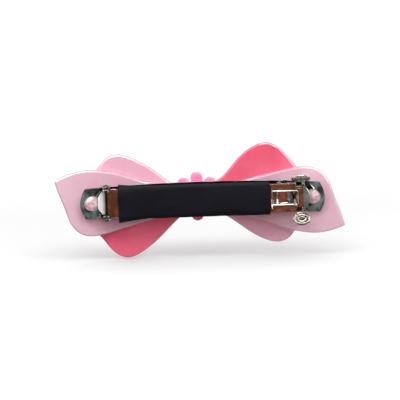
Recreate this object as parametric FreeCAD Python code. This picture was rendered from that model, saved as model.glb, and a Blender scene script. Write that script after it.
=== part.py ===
"""A hair barrette: an automatic French clip glued to the back of a three-layer acetate bow with a daisy.

Frame, in millimetres: +X runs along the barrette from the hinge to the catch, +Z is up as it is worn, and
-Y points at the head. The origin is the middle of the gap that holds the hair. The plate, the tension bar
and the bow lie on the +Y side of the gap, and the clasp arm closes it on the -Y side.
"""

import FreeCAD, Part
import os
from math import asin, cos, degrees, pi, radians, sin, sqrt

V = FreeCAD.Vector

# ---- Driving dimensions ----------------------------------------------------------------------------------
HAIR_GAP = 5.0  # clear gap at mid length between the sleeve and the tension bar

PLATE_LENGTH = 80.0
PLATE_WIDTH = 10.0
PLATE_THICK = 0.6
PLATE_RADIUS = 90.0  # bend of the plate's inner face, along X
BAR_RISE = 2.0  # the space between the tension bar and the plate at mid length
PLATE_END_BULGE = 1.2  # how far the rounded ends stand out at mid width
PLATE_CORNER = 0.8
HOLE_X = 36.15
HOLE_RADIUS = 2.5

HINGE_X = -31.5
HINGE_Y = -3.0
PIN_RADIUS = 0.5
PIN_CLEARANCE = 0.04
PIN_HEAD_RADIUS = 1.0
PIN_HEAD_HEIGHT = 0.65
EAR_INNER = 5.0  # half the distance between the ears
EAR_THICK = 0.5
EAR_RADIUS = 1.45

ARM_WIDTH = 9.2
ARM_THICK = 0.6
ARM_RADIUS = 620.0
ARM_START_X = -31.0
ARM_TIP_X = 35.5
LUG_THICK = 0.5
LUG_RADIUS = 1.3
WINDOW_X = 27.9
WINDOW_SIZE = (5.8, 4.0)
WINDOW_RIM = 0.6
RIM_HEIGHT = 0.25
NOTCH_START_X = 30.5
NOTCH_END_X = 33.1
NOTCH_HALF = 3.1  # what is left of the arm's half width between the notches
ARM_CORNER = 1.2
TIP_INSET = 0.4  # how far the round tip's root lies inside the arm's edge
TIP_LIFT = 20.0  # degrees that the tip turns up, away from the plate
LUG_REACH = 3.2  # how far the lugs run along the arm from the pin

SLEEVE_START_X = -27.5
SLEEVE_END_X = 22.1
SLEEVE_WIDTH = 11.0
SLEEVE_FLARE = 13.2  # width at the hinge end
SLEEVE_CLOTH = 0.4
SLEEVE_NECK = 9.0  # length of the flare

BAR_WIDTH = 7.6
BAR_THICK = 0.3
BAR_SEAT = V(-30.6, -1.2, 0)
BAR_END = V(23.8, -0.75, 0)
TAIL_BEND = V(-32.2, -1.78, 0)
TAIL_TIP = V(-34.2, -2.95, 0)
TAIL_TIP_WIDTH = 3.4
TAIL_SHOULDER = (-32.8, 3.9)  # X and half width where the tail is widest
BAR_TAPER = 3.0  # length of the taper at the bar's free end

SADDLE_START_X = 24.6
SADDLE_END_X = 33.6
SADDLE_THICK = 0.35
SADDLE_HALF = 4.4
CRIMP_X = (25.4, 28.0)
CRIMP_HOLD = 1.0  # how far the tabs reach over the plate's back
STEP_X = (25.1, 27.9, 29.6)  # a raised step under the window: level, then sloping
STEP_Y = (-2.75, -2.05)  # its level face and its far end
STEP_HALF = 1.9

LEAF_X = (30.75, 32.85)  # the strap's two edges
LEAF_THICK = 0.35
LEAF_ROOT_Z = 0.35
LEAF_LIFT = 0.06  # air between the saddle and the leaf
LEAF_KNEE_Z = 3.75
KNEE_RISE = 0.7
KNEE_RUN = 0.45
PAD_X = 32.3
PAD_RADIUS = 3.1
PAD_THICK = 0.45
PAD_RINGS = (0.4, 0.78)  # ring radii as shares of the pad's radius
RING_RADIUS = 0.38  # the rings stand out from both faces
PAD_TILT = 27.0  # degrees from the -Y direction
PAD_CENTRE = (-7.3, 6.75)  # Y and Z of the upper pad's centre
BARB_X = (29.9, 30.55)
BARB_Z = 1.35
BARB_HOOK = 0.3  # how far the hook reaches over the window's edge
HOOK_HEIGHT = 0.45
HOOK_AIR = 0.22  # between the hook and the window's rim

BOW_X = -0.9  # the bow is glued a little off the plate's middle
BOW_Z = -0.85
GLUE = 0.45  # between the plate and the wings at the middle
GLUE_ROOM = 6.0  # more than the space at the plate's ends
GLUE_PAD_RADIUS = 3.4
HOLE_GLUE_CLEARANCE = 0.02
HOLE_GLUE_DEPTH = 0.15  # how far the glue's face lies below the plate's inner face
SHEET_THICK = 1.7
SHEET_JOINT = 0.25
JOINT_RADIUS = 3.0  # the cemented spots between the sheets
WING_RADIUS = 100.0
ROSE_RADIUS = 125.0
BLUSH_RADIUS = 165.0
WING_FLAT_X = 30.0  # beyond this distance from the middle the wings run straight

DAISY_X = -1.7
DAISY_Z = -0.85
DAISY_REACH = 8.2
PETAL_WIDTH = 4.15
PETAL_COUNT = 8
PETAL_THICK = 1.9
DISC_RADIUS = 3.2
NECK_SHARE = 0.72  # a petal's width at the disc, as a share of its width at the tip
DAISY_GAP = 0.35  # between the daisy's back and the top of the bent sheet
DAISY_GLUE_RADIUS = 2.8
BEAD_RADIUS = 2.3
BEAD_SEAT = 0.55  # height of the bead's centre over its seat, as a share of its radius

# Faces at mid length, counted out from the middle of the hair gap
BAR_MID_Y = HAIR_GAP / 2 + BAR_THICK / 2
PLATE_INNER_Y = HAIR_GAP / 2 + BAR_THICK + BAR_RISE
ARM_INNER_Y = -HAIR_GAP / 2 - SLEEVE_CLOTH

TALL = 60.0  # long enough to cut through anything here
WIDE = 46.0  # past the plate's ends
SIDES = (1, -1)


# ---- Small helpers ---------------------------------------------------------------------------------------
def drop(x, radius):
    """How far an arc of this radius has fallen from its top, x away from the middle."""
    return radius - sqrt(radius * radius - x * x)


def plate_inner(x):
    return PLATE_INNER_Y - drop(x, PLATE_RADIUS)


def plate_outer(x):
    return PLATE_INNER_Y + PLATE_THICK - drop(x, PLATE_RADIUS + PLATE_THICK)


def arm_inner(x):
    return ARM_INNER_Y - drop(x, ARM_RADIUS)


def box(x_range, y_range, z_range):
    size = [high - low for low, high in (x_range, y_range, z_range)]
    return Part.makeBox(*size, V(x_range[0], y_range[0], z_range[0]))


def prism_z(wire, half):
    """A closed XY outline made into a solid from z = -half to half."""
    face = Part.Face(wire)
    face.translate(V(0, 0, -half))
    return face.extrude(V(0, 0, 2 * half))


def prism_y(wire, y_low, y_high):
    """A closed XZ outline made into a solid between two Y planes."""
    face = Part.Face(wire)
    face.translate(V(0, y_low, 0))
    return face.extrude(V(0, y_high - y_low, 0))


def polygon(points):
    return Part.makePolygon([*points, points[0]])


def arc_band(x0, x1, inner_y, radius, thick, half):
    """A strip bent to an arc: its inner face is at inner_y in the middle and has that radius."""
    outer = radius + thick
    mid = (x0 + x1) / 2

    def on(x, r):
        return V(x, inner_y - radius + sqrt(r * r - x * x), 0)

    edges = [
        Part.Arc(on(x0, radius), on(mid, radius), on(x1, radius)).toShape(),
        Part.LineSegment(on(x1, radius), on(x1, outer)).toShape(),
        Part.Arc(on(x1, outer), on(mid, outer), on(x0, outer)).toShape(),
        Part.LineSegment(on(x0, outer), on(x0, radius)).toShape(),
    ]
    return prism_z(Part.Wire(edges), half)


def rod_z(x, y, radius, z0, z1):
    return Part.makeCylinder(radius, z1 - z0, V(x, y, z0), V(0, 0, 1))


def drum_y(x, z, radius):
    return Part.makeCylinder(radius, TALL, V(x, -TALL / 2, z), V(0, 1, 0))


def spline_edge(points, closed=False):
    curve = Part.BSplineCurve()
    curve.interpolate([V(x, 0, z) for x, z in points], closed)
    return curve.toShape()


def both_sides(shape):
    """The upper piece's mirror image, for the lower side."""
    return shape.mirror(V(0, 0, 0), V(0, 0, 1))


def one_solid(shape):
    if len(shape.Solids) != 1:
        raise ValueError(f"{len(shape.Solids)} solids where one was meant")
    return shape.Solids[0]


# ---- The clip's fixed parts ------------------------------------------------------------------------------
def base_plate():
    """The curved strip with an end hole at each end and an ear on each side of the hinge."""
    half_x, half_z, c = PLATE_LENGTH / 2, PLATE_WIDTH / 2, PLATE_CORNER
    strip = arc_band(-half_x, half_x, PLATE_INNER_Y, PLATE_RADIUS, PLATE_THICK, half_z)
    corner_x = half_x - PLATE_END_BULGE

    def end_arc(side):
        low, high = V(side * corner_x, 0, -half_z + c), V(side * corner_x, 0, half_z - c)
        return Part.Arc(low, V(side * half_x, 0, 0), high)

    def corner_cut(side, level):
        """The short slope between an end arc and a long edge."""
        near_end = V(side * corner_x, 0, level * (half_z - c))
        return Part.LineSegment(near_end, V(side * (corner_x - c / 2), 0, level * half_z))

    def long_edge(level):
        x = corner_x - c / 2
        return Part.LineSegment(V(-x, 0, level * half_z), V(x, 0, level * half_z))

    edges = [end_arc(side) for side in SIDES] + [long_edge(level) for level in SIDES]
    edges += [corner_cut(side, level) for side in SIDES for level in SIDES]
    outline = Part.Wire(Part.__sortEdges__([e.toShape() for e in edges]))
    strip = strip.common(prism_y(outline, -TALL, TALL))
    for side in SIDES:
        strip = strip.cut(drum_y(side * HOLE_X, 0, HOLE_RADIUS))
    for side in SIDES:
        strip = strip.fuse(hinge_ear(side))
    return one_solid(strip.removeSplitter())


def hinge_ear(side):
    """A flat ear at one edge of the plate, rounded about the pin and bored for it."""
    z0, z1 = sorted((side * EAR_INNER, side * (EAR_INNER + EAR_THICK)))
    root_y = plate_outer(HINGE_X) - 0.15
    ear = rod_z(HINGE_X, HINGE_Y, EAR_RADIUS, z0, z1)
    ear = ear.fuse(box((HINGE_X - EAR_RADIUS, HINGE_X + EAR_RADIUS), (HINGE_Y, root_y), (z0, z1)))
    ear = ear.cut(rod_z(HINGE_X, HINGE_Y, PIN_RADIUS, z0 - 1, z1 + 1))
    foot_z = sorted((side * (EAR_INNER - 0.4), side * (EAR_INNER + EAR_THICK)))
    foot = arc_band(
        HINGE_X - EAR_RADIUS, HINGE_X + EAR_RADIUS, PLATE_INNER_Y, PLATE_RADIUS, PLATE_THICK, TALL / 2
    )
    foot = foot.common(box((-TALL, TALL), (-TALL, TALL), foot_z))
    return ear.fuse(foot)


def hinge_pin():
    """A straight pin with a domed head outside each ear."""
    reach = EAR_INNER + EAR_THICK
    pin = rod_z(HINGE_X, HINGE_Y, PIN_RADIUS, -reach - 0.1, reach + 0.1)
    bulge = (PIN_HEAD_RADIUS**2 + PIN_HEAD_HEIGHT**2) / (2 * PIN_HEAD_HEIGHT)
    ball = Part.makeSphere(bulge, V(HINGE_X, HINGE_Y, reach + PIN_HEAD_HEIGHT - bulge))
    dome = ball.common(rod_z(HINGE_X, HINGE_Y, PIN_HEAD_RADIUS + 0.2, reach, reach + 2))
    return one_solid(pin.fuse([dome, both_sides(dome)]).removeSplitter())


def catch_saddle():
    """The catch's foot: a plate on the inner face with a raised step, and crimped tabs round the edges."""
    saddle = arc_band(
        SADDLE_START_X,
        SADDLE_END_X,
        PLATE_INNER_Y - SADDLE_THICK,
        PLATE_RADIUS - SADDLE_THICK,
        SADDLE_THICK,
        SADDLE_HALF,
    )
    edge = PLATE_WIDTH / 2
    wrap = arc_band(
        *CRIMP_X,
        PLATE_INNER_Y - SADDLE_THICK,
        PLATE_RADIUS - SADDLE_THICK,
        PLATE_THICK + 2 * SADDLE_THICK,
        edge + SADDLE_THICK,
    )
    slot = arc_band(
        CRIMP_X[0] - 1, CRIMP_X[1] + 1, PLATE_INNER_Y, PLATE_RADIUS, PLATE_THICK, edge
    )
    window = box((-TALL, TALL), (-TALL, TALL), (CRIMP_HOLD - edge, edge - CRIMP_HOLD))
    behind = arc_band(
        CRIMP_X[0] - 1, CRIMP_X[1] + 1, PLATE_INNER_Y, PLATE_RADIUS, 4.0, edge + 2
    ).common(window)
    root_y = plate_inner(STEP_X[0]) - SADDLE_THICK / 2
    step = polygon(
        [
            V(STEP_X[0], root_y, 0),
            V(STEP_X[0], STEP_Y[0], 0),
            V(STEP_X[1], STEP_Y[0], 0),
            V(STEP_X[2], STEP_Y[1], 0),
            V(STEP_X[2], plate_inner(STEP_X[2]) - SADDLE_THICK / 2, 0),
        ]
    )
    saddle = saddle.fuse([wrap.cut(slot).cut(behind), prism_z(step, STEP_HALF)])
    return one_solid(saddle.removeSplitter())


# ---- The moving parts ------------------------------------------------------------------------------------
def clasp_arm():
    """The arm: a shallow arc with a rimmed window, two notches, a round tip, and lugs on the hinge pin."""
    half = ARM_WIDTH / 2
    band = arc_band(
        ARM_START_X, ARM_TIP_X + 1, ARM_INNER_Y - ARM_THICK, ARM_RADIUS - ARM_THICK, ARM_THICK, half
    )
    corner, tip_start, tip_half = ARM_CORNER, NOTCH_END_X, half - TIP_INSET
    outline = [
        Part.LineSegment(V(ARM_START_X + corner, 0, half), V(NOTCH_START_X, 0, half)),
        Part.LineSegment(V(NOTCH_START_X, 0, half), V(NOTCH_START_X, 0, NOTCH_HALF)),
        Part.LineSegment(V(NOTCH_START_X, 0, NOTCH_HALF), V(tip_start, 0, NOTCH_HALF)),
        Part.LineSegment(V(tip_start, 0, NOTCH_HALF), V(tip_start, 0, tip_half)),
        Part.Arc(V(tip_start, 0, tip_half), V(ARM_TIP_X, 0, 0), V(tip_start, 0, -tip_half)),
        Part.LineSegment(V(tip_start, 0, -tip_half), V(tip_start, 0, -NOTCH_HALF)),
        Part.LineSegment(V(tip_start, 0, -NOTCH_HALF), V(NOTCH_START_X, 0, -NOTCH_HALF)),
        Part.LineSegment(V(NOTCH_START_X, 0, -NOTCH_HALF), V(NOTCH_START_X, 0, -half)),
        Part.LineSegment(V(NOTCH_START_X, 0, -half), V(ARM_START_X + corner, 0, -half)),
        Part.LineSegment(V(ARM_START_X + corner, 0, -half), V(ARM_START_X, 0, -half + corner)),
        Part.LineSegment(V(ARM_START_X, 0, -half + corner), V(ARM_START_X, 0, half - corner)),
        Part.LineSegment(V(ARM_START_X, 0, half - corner), V(ARM_START_X + corner, 0, half)),
    ]
    arm = band.common(prism_y(Part.Wire([e.toShape() for e in outline]), -TALL, TALL))
    fold_x = NOTCH_END_X + 0.1
    beyond = box((fold_x, TALL), (-TALL, TALL), (-TALL, TALL))
    tip = arm.common(beyond)
    arm = arm.cut(beyond)
    tip.rotate(V(fold_x, arm_inner(fold_x), 0), V(0, 0, 1), -TIP_LIFT)
    arm = arm.fuse([tip, window_rim()])
    length, width = WINDOW_SIZE
    arm = arm.cut(
        box(
            (WINDOW_X - length / 2, WINDOW_X + length / 2), (-TALL, TALL), (-width / 2, width / 2)
        )
    )
    for side in SIDES:
        arm = arm.fuse(arm_lug(side))
    return one_solid(arm.removeSplitter())


def window_rim():
    """The raised lip round the arm's window."""
    length, width = WINDOW_SIZE
    outer_y = ARM_INNER_Y - ARM_THICK - RIM_HEIGHT
    lip = arc_band(
        WINDOW_X - length / 2 - WINDOW_RIM,
        WINDOW_X + length / 2 + WINDOW_RIM * 0.6,
        outer_y,
        ARM_RADIUS - ARM_THICK - RIM_HEIGHT,
        RIM_HEIGHT + 0.1,
        width / 2 + WINDOW_RIM,
    )
    return lip


def arm_lug(side):
    """A lug at one edge of the arm, bent down to ride on the hinge pin."""
    z1 = ARM_WIDTH / 2
    z0, z1 = sorted((side * (z1 - LUG_THICK), side * z1))
    top_y = arm_inner(HINGE_X) - ARM_THICK / 2
    lug = rod_z(HINGE_X, HINGE_Y, LUG_RADIUS, z0, z1)
    lug = lug.fuse(box((HINGE_X, HINGE_X + LUG_REACH), (top_y, HINGE_Y + 0.45), (z0, z1)))
    return lug.cut(rod_z(HINGE_X, HINGE_Y, PIN_RADIUS + PIN_CLEARANCE, z0 - 1, z1 + 1))


def arm_sleeve():
    """The cloth sleeve: a flat tube on the arm, wider at its hinge end."""
    outer = arc_band(
        SLEEVE_START_X,
        SLEEVE_END_X,
        ARM_INNER_Y - ARM_THICK - SLEEVE_CLOTH,
        ARM_RADIUS - ARM_THICK - SLEEVE_CLOTH,
        ARM_THICK + 2 * SLEEVE_CLOTH,
        SLEEVE_FLARE,
    )
    half, flare = SLEEVE_WIDTH / 2, SLEEVE_FLARE / 2
    neck_x = SLEEVE_START_X + SLEEVE_NECK
    outline = polygon(
        [
            V(SLEEVE_START_X, 0, flare),
            V(neck_x, 0, half),
            V(SLEEVE_END_X, 0, half),
            V(SLEEVE_END_X, 0, -half),
            V(neck_x, 0, -half),
            V(SLEEVE_START_X, 0, -flare),
        ]
    )
    bore = arc_band(
        SLEEVE_START_X - 1,
        SLEEVE_END_X + 1,
        ARM_INNER_Y - ARM_THICK,
        ARM_RADIUS - ARM_THICK,
        ARM_THICK,
        ARM_WIDTH / 2,
    )
    return one_solid(outer.common(prism_y(outline, -TALL, TALL)).cut(bore))


def tension_bar():
    """The spring strip: it bows into the hair gap, runs under the hinge pin and ends in an upturned tail."""
    apex = V(0, BAR_MID_Y, 0)
    curve = Part.Arc(BAR_END, apex, BAR_SEAT).toShape().Curve
    centre, radius = curve.Center, curve.Radius
    half = BAR_THICK / 2
    inner, outer = radius - half, radius + half

    def on(point, r):
        return centre + (point - centre).normalize() * r

    tail = (TAIL_TIP - TAIL_BEND).normalize()
    across = V(-tail.y, tail.x, 0) * half
    seat_in, seat_out = on(BAR_SEAT, inner), on(BAR_SEAT, outer)
    bend_in = TAIL_BEND + V(0.11, -half * 1.1, 0)
    bend_out = TAIL_BEND - V(0.08, -half * 1.05, 0)
    edges = [
        Part.Arc(on(BAR_END, inner), on(apex, inner), seat_in).toShape(),
        Part.LineSegment(seat_in, bend_in).toShape(),
        Part.LineSegment(bend_in, TAIL_TIP + across).toShape(),
        Part.LineSegment(TAIL_TIP + across, TAIL_TIP - across).toShape(),
        Part.LineSegment(TAIL_TIP - across, bend_out).toShape(),
        Part.LineSegment(bend_out, seat_out).toShape(),
        Part.Arc(seat_out, on(apex, outer), on(BAR_END, outer)).toShape(),
        Part.LineSegment(on(BAR_END, outer), on(BAR_END, inner)).toShape(),
    ]
    strip = prism_z(Part.Wire(edges), BAR_WIDTH / 2)
    half_wide, half_tip = BAR_WIDTH / 2, TAIL_TIP_WIDTH / 2
    shoulder_x, shoulder = TAIL_SHOULDER
    outline = polygon(
        [
            V(BAR_END.x + 1, 0, half_tip),
            V(BAR_END.x - BAR_TAPER, 0, half_wide),
            V(TAIL_BEND.x, 0, half_wide),
            V(shoulder_x, 0, shoulder),
            V(TAIL_TIP.x - 0.1, 0, half_tip),
            V(TAIL_TIP.x - 0.1, 0, -half_tip),
            V(shoulder_x, 0, -shoulder),
            V(TAIL_BEND.x, 0, -half_wide),
            V(BAR_END.x - BAR_TAPER, 0, -half_wide),
            V(BAR_END.x + 1, 0, -half_tip),
        ]
    )
    return one_solid(strip.common(prism_y(outline, -TALL, TALL)))


def leaf_root_y():
    """The catch leaf's flat root: its inner face, clear of the saddle at the strap's far edge."""
    return plate_inner(LEAF_X[1]) - SADDLE_THICK - LEAF_LIFT - LEAF_THICK


def catch_leaf():
    """The upper leaf: root, strap, barb and embossed pad."""
    t = LEAF_THICK
    y0 = leaf_root_y()
    tilt = radians(PAD_TILT)
    pad_y, pad_z = PAD_CENTRE
    along = V(0, -cos(tilt), sin(tilt))
    pad = V(PAD_X, pad_y, pad_z)
    foot = pad - along * (PAD_RADIUS * 0.8)
    # the strap's section in the YZ plane: flat root, knee, and the rise to the pad
    y1 = y0 + t
    section = [
        V(0, y1, LEAF_ROOT_Z),
        V(0, y1, LEAF_KNEE_Z),
        V(0, y1 - KNEE_RISE, LEAF_KNEE_Z + KNEE_RUN),
        V(0, foot.y, foot.z + t / 2),
        V(0, foot.y - 0.15, foot.z - t / 2),
        V(0, y0 - KNEE_RUN, LEAF_KNEE_Z),
        V(0, y0, LEAF_KNEE_Z - KNEE_RUN),
        V(0, y0, LEAF_ROOT_Z),
    ]
    face = Part.Face(polygon(section))
    face.translate(V(LEAF_X[0], 0, 0))
    leaf = face.extrude(V(LEAF_X[1] - LEAF_X[0], 0, 0))
    leaf = leaf.fuse([pad_disc(pad, along), leaf_barb(y0)])
    return one_solid(leaf.removeSplitter())


def pad_disc(centre, along):
    """The round finger pad with two raised rings on each face."""
    normal = along.cross(V(1, 0, 0))
    if normal.z < 0:
        normal = -normal
    base = centre - normal * (PAD_THICK / 2)
    disc = Part.makeCylinder(PAD_RADIUS, PAD_THICK, base, normal)
    for share in PAD_RINGS:
        disc = disc.fuse(Part.makeTorus(PAD_RADIUS * share, RING_RADIUS, centre, normal))
    return disc


def leaf_barb(root_y):
    """The finger that rises through the window and hooks over its edge."""
    t = LEAF_THICK
    outer_y = ARM_INNER_Y - ARM_THICK - RIM_HEIGHT - drop(BARB_X[0], ARM_RADIUS)
    hook_y = outer_y - HOOK_AIR
    edge = WINDOW_SIZE[1] / 2
    link = box((BARB_X[0], LEAF_X[0] + 0.3), (root_y, root_y + t), (LEAF_ROOT_Z, BARB_Z + t))
    stem = box(BARB_X, (hook_y - HOOK_HEIGHT, root_y + t), (BARB_Z, BARB_Z + t))
    hook = Part.Face(
        polygon(
            [
                V(BARB_X[0], hook_y, BARB_Z),
                V(BARB_X[0], hook_y, edge + BARB_HOOK),
                V(BARB_X[0], hook_y - HOOK_HEIGHT, BARB_Z + t),
                V(BARB_X[0], hook_y - HOOK_HEIGHT, BARB_Z),
            ]
        )
    ).extrude(V(BARB_X[1] - BARB_X[0], 0, 0))
    return link.fuse([stem, hook])


# ---- The bow ---------------------------------------------------------------------------------------------
def sheet_band(back_y, radius, reach, flat_x=None):
    """A sheet's thickness before it is cut to its outline: an arc, running straight beyond flat_x."""
    x0, x1 = BOW_X - reach, BOW_X + reach
    if flat_x is None:
        band = arc_band(-reach, reach, back_y, radius, SHEET_THICK, TALL / 2)
        band.translate(V(BOW_X, 0, 0))
        return band
    slope = asin(flat_x / radius)
    normal = V(sin(slope), cos(slope), 0)
    run = V(cos(slope), -sin(slope), 0) * ((reach - flat_x) / cos(slope))
    hub = V(0, back_y - radius, 0)
    near, far = hub + normal * radius, hub + normal * (radius + SHEET_THICK)

    def flip(p):
        return V(-p.x, p.y, p.z)

    edges = [
        Part.Arc(flip(near), V(0, back_y, 0), near).toShape(),
        Part.LineSegment(near, near + run).toShape(),
        Part.LineSegment(near + run, far + run).toShape(),
        Part.LineSegment(far + run, far).toShape(),
        Part.Arc(far, V(0, back_y + SHEET_THICK, 0), flip(far)).toShape(),
        Part.LineSegment(flip(far), flip(far + run)).toShape(),
        Part.LineSegment(flip(far + run), flip(near + run)).toShape(),
        Part.LineSegment(flip(near + run), flip(near)).toShape(),
    ]
    band = prism_z(Part.Wire(edges), TALL / 2)
    band.translate(V((x0 + x1) / 2, 0, 0))
    return band


def wing_wire():
    """The wings: one long edge from the left tip to the right tip, and the same edge turned half round."""
    top = [
        (-47.4, 8.8),
        (-43.6, 10.4),
        (-37.4, 11.6),
        (-32.7, 11.2),
        (-26.7, 9.8),
        (-20.0, 7.3),
        (-12.6, 4.9),
        (0.0, 3.5),
        (12.6, 5.4),
        (20.0, 7.3),
        (26.7, 9.0),
        (33.6, 10.4),
        (38.2, 9.9),
        (42.0, 6.6),
        (44.2, 0.8),
        (45.9, -3.8),
        (47.4, -8.8),
    ]
    edge = spline_edge(top)
    other = edge.copy()
    other.rotate(V(0, 0, 0), V(0, 1, 0), 180)
    return Part.Wire([edge, other])


ROSE_OUTLINE = [
    (-3.1, -4.0),
    (-7.1, -6.7),
    (-11.7, -11.1),
    (-19.0, -17.0),
    (-24.4, -18.8),
    (-28.8, -16.5),
    (-33.4, -10.7),
    (-37.3, -5.4),
    (-35.5, -2.0),
    (-22.4, 0.2),
    (-8.2, 2.7),
    (0.0, 4.2),
    (6.0, 5.8),
    (12.2, 12.1),
    (18.7, 17.1),
    (22.9, 18.0),
    (26.3, 16.4),
    (30.5, 11.9),
    (34.7, 6.6),
    (36.1, 2.7),
    (32.2, 0.9),
    (20.4, -0.6),
    (8.2, -2.3),
]

BLUSH_OUTLINE = [
    (-3.1, 3.5),
    (-9.5, 5.4),
    (-15.0, 9.6),
    (-21.7, 13.7),
    (-27.1, 15.3),
    (-30.3, 14.3),
    (-33.4, 11.0),
    (-36.6, 6.5),
    (-37.1, 3.2),
    (-33.3, 1.6),
    (-20.4, 0.3),
    (-8.2, -2.2),
    (2.0, -4.0),
    (9.1, -6.9),
    (15.0, -11.1),
    (21.4, -14.7),
    (25.7, -15.5),
    (29.6, -13.7),
    (31.6, -10.9),
    (35.3, -5.7),
    (35.3, -2.2),
    (30.6, -0.8),
    (18.4, 0.3),
    (7.1, 2.4),
]


def bow_sheet(wire, back_y, radius, reach, flat_x=None):
    """One acetate sheet: its outline cut from its bent band."""
    outline = prism_y(wire, -TALL, TALL)
    outline.translate(V(BOW_X, 0, BOW_Z))
    return one_solid(sheet_band(back_y, radius, reach, flat_x).common(outline))


def sheet_backs():
    """The back face of each sheet at the bow's middle, from the plate outwards."""
    wing = PLATE_INNER_Y + PLATE_THICK + GLUE
    step = SHEET_THICK + SHEET_JOINT
    return wing, wing + step, wing + 2 * step


def glue_pad(x, z, wing):
    """A round pad of clear glue, squeezed between the plate's outer face and the wings."""
    over_plate = arc_band(
        -WIDE, WIDE, PLATE_INNER_Y + PLATE_THICK, PLATE_RADIUS + PLATE_THICK, GLUE_ROOM, TALL / 2
    )
    drum = Part.makeCylinder(GLUE_PAD_RADIUS, GLUE_ROOM, V(x, plate_outer(x) - 3.0, z), V(0, 1, 0))
    pad = drum.common(over_plate).cut(wing)
    return min(pad.Solids, key=lambda s: s.CenterOfMass.y)


def end_glue_pad(x, wing):
    """A glue pad at an end hole, with the glue that has risen into the hole."""
    plug = drum_y(x, 0, HOLE_RADIUS - HOLE_GLUE_CLEARANCE)
    risen = arc_band(
        -WIDE,
        WIDE,
        PLATE_INNER_Y + HOLE_GLUE_DEPTH,
        PLATE_RADIUS + HOLE_GLUE_DEPTH,
        PLATE_THICK,
        TALL / 2,
    )
    return one_solid(glue_pad(x, 0.0, wing).fuse(plug.common(risen)).removeSplitter())


def joint_spot(back_y, back_radius, front_y, front_radius):
    """The cemented spot that fills the narrow space between two sheets at the bow's waist."""
    spot = drum_y(BOW_X, BOW_Z, JOINT_RADIUS)
    over = arc_band(-10, 10, back_y, back_radius, 3.0, TALL / 2)
    under = arc_band(-10, 10, front_y - 3.0, front_radius - 3.0, 3.0, TALL / 2)
    over.translate(V(BOW_X, 0, 0))
    under.translate(V(BOW_X, 0, 0))
    return one_solid(spot.common(over).common(under))


# ---- The daisy -------------------------------------------------------------------------------------------
def daisy_back():
    """Where the daisy's flat back lies."""
    return sheet_backs()[2] + SHEET_THICK + DAISY_GAP


def daisy_flower():
    """Eight round-ended petals about a disc, moulded in one piece."""
    y0 = daisy_back()
    flower = Part.makeCylinder(DISC_RADIUS, PETAL_THICK, V(0, y0, 0), V(0, 1, 0))
    ball = PETAL_WIDTH / 2
    for k in range(PETAL_COUNT):
        angle = 2 * pi * k / PETAL_COUNT
        tip = V(cos(angle), 0, sin(angle)) * (DAISY_REACH - ball)
        head = Part.makeCylinder(ball, PETAL_THICK, V(tip.x, y0, tip.z), V(0, 1, 0))
        neck = box((0, tip.Length), (y0, y0 + PETAL_THICK), (-NECK_SHARE * ball, NECK_SHARE * ball))
        neck.rotate(V(0, 0, 0), V(0, 1, 0), -degrees(angle))
        flower = flower.fuse([head, neck])
    flower.translate(V(DAISY_X, 0, DAISY_Z))
    return one_solid(flower.removeSplitter())


def daisy_bead():
    """The round bead in the daisy's middle, seated flat on it."""
    seat = daisy_back() + PETAL_THICK
    centre = V(DAISY_X, seat + BEAD_SEAT * BEAD_RADIUS, DAISY_Z)
    room = box((-TALL, TALL), (seat, TALL), (-TALL, TALL))
    return one_solid(Part.makeSphere(BEAD_RADIUS, centre).common(room))


def daisy_glue(blush):
    """The glue between the daisy's flat back and the bent blush sheet."""
    y1 = daisy_back()
    base = V(DAISY_X, y1 - SHEET_THICK, DAISY_Z)
    drum = Part.makeCylinder(DAISY_GLUE_RADIUS, SHEET_THICK, base, V(0, 1, 0))
    return max(drum.cut(blush).Solids, key=lambda s: s.CenterOfMass.y)


# ---- Assembly --------------------------------------------------------------------------------------------
def build():
    wing_back, rose_back, blush_back = sheet_backs()
    leaf = catch_leaf()
    parts = {
        "base_plate": base_plate(),
        "hinge_pin": hinge_pin(),
        "clasp_arm": clasp_arm(),
        "arm_sleeve": arm_sleeve(),
        "tension_bar": tension_bar(),
        "catch_saddle": catch_saddle(),
        "catch_leaf_upper": leaf,
        "catch_leaf_lower": both_sides(leaf),
        "wing_sheet": bow_sheet(wing_wire(), wing_back, WING_RADIUS, 49.0, WING_FLAT_X),
        "rose_sheet": bow_sheet(
            Part.Wire(spline_edge(ROSE_OUTLINE, True)), rose_back, ROSE_RADIUS, 40.0
        ),
        "blush_sheet": bow_sheet(
            Part.Wire(spline_edge(BLUSH_OUTLINE, True)), blush_back, BLUSH_RADIUS, 40.0
        ),
        "wing_rose_joint": joint_spot(
            wing_back + SHEET_THICK, WING_RADIUS + SHEET_THICK, rose_back, ROSE_RADIUS
        ),
        "rose_blush_joint": joint_spot(
            rose_back + SHEET_THICK, ROSE_RADIUS + SHEET_THICK, blush_back, BLUSH_RADIUS
        ),
        "daisy_flower": daisy_flower(),
        "daisy_bead": daisy_bead(),
    }
    wing = parts["wing_sheet"]
    parts["daisy_glue"] = daisy_glue(parts["blush_sheet"])
    parts["glue_pad_hinge_end"] = end_glue_pad(-HOLE_X, wing)
    parts["glue_pad_centre"] = glue_pad(BOW_X, BOW_Z, wing)
    parts["glue_pad_catch_end"] = end_glue_pad(HOLE_X, wing)
    return parts


os.makedirs("parts", exist_ok=True)
for part_name, solid in build().items():
    solid.exportStep(f"parts/{part_name}.step")
    print(f"{part_name:20s} valid={solid.isValid()} volume={solid.Volume:.1f} solids={len(solid.Solids)}")
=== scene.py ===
"""The looks of a bow barrette: polished acetate sheets, a chrome French clip, a satin sleeve and a daisy.

Lengths are in metres, and MM turns millimetres into metres. +X runs along the barrette from the hinge to the
catch, +Z is up, and -Y points at the head. The camera stands on the -Y side and sees the clip on the back of
the bow.
"""

import math

import bmesh
import bpy
import numpy as np
from mathutils import Matrix, Vector, geometry, noise


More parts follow.
